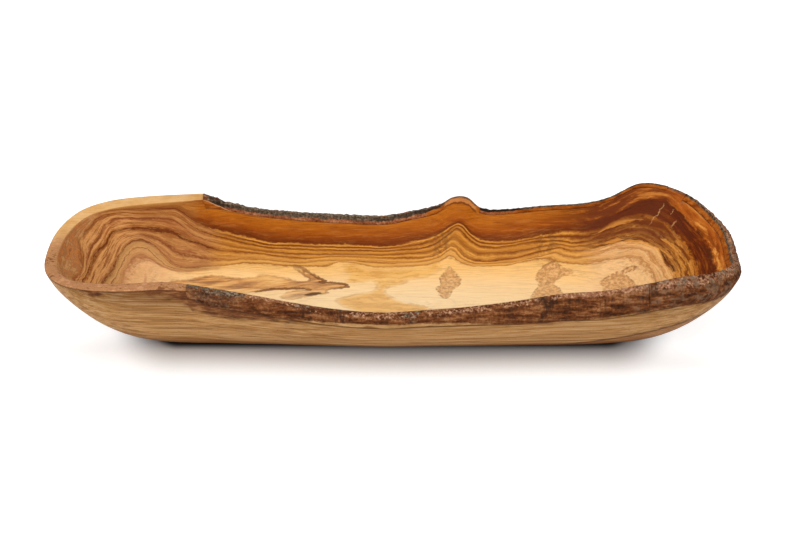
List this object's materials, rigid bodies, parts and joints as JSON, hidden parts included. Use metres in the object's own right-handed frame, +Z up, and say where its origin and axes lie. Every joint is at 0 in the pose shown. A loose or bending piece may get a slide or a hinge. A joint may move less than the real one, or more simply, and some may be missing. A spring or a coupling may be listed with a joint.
{
  "type": "dough bowl",
  "caption": "Long shallow live-edge bowl carved from an olive log, with bark left round most of its rim and a flat foot.",
  "frame": {"origin": "middle of the bowl on the plane it stands on, under the flat foot", "axes": "+X along the bowl towards its barked end, +Y across it towards the rim with the bare knot, +Z up"},
  "size_m": [0.4, 0.1362, 0.0607],
  "materials": {
    "olive_wood": "smooth sanded olive wood with an oiled sheen, dark ring lines and knots",
    "bark": "rough dry bark, red-brown where it is cut and grey on its crust"
  },
  "bodies": {
    "root": {"bowl_body": "olive_wood", "front_bark": "bark", "end_bark": "bark", "back_bark_right": "bark", "back_bark_left": "bark"}
  },
  "joints": []
}
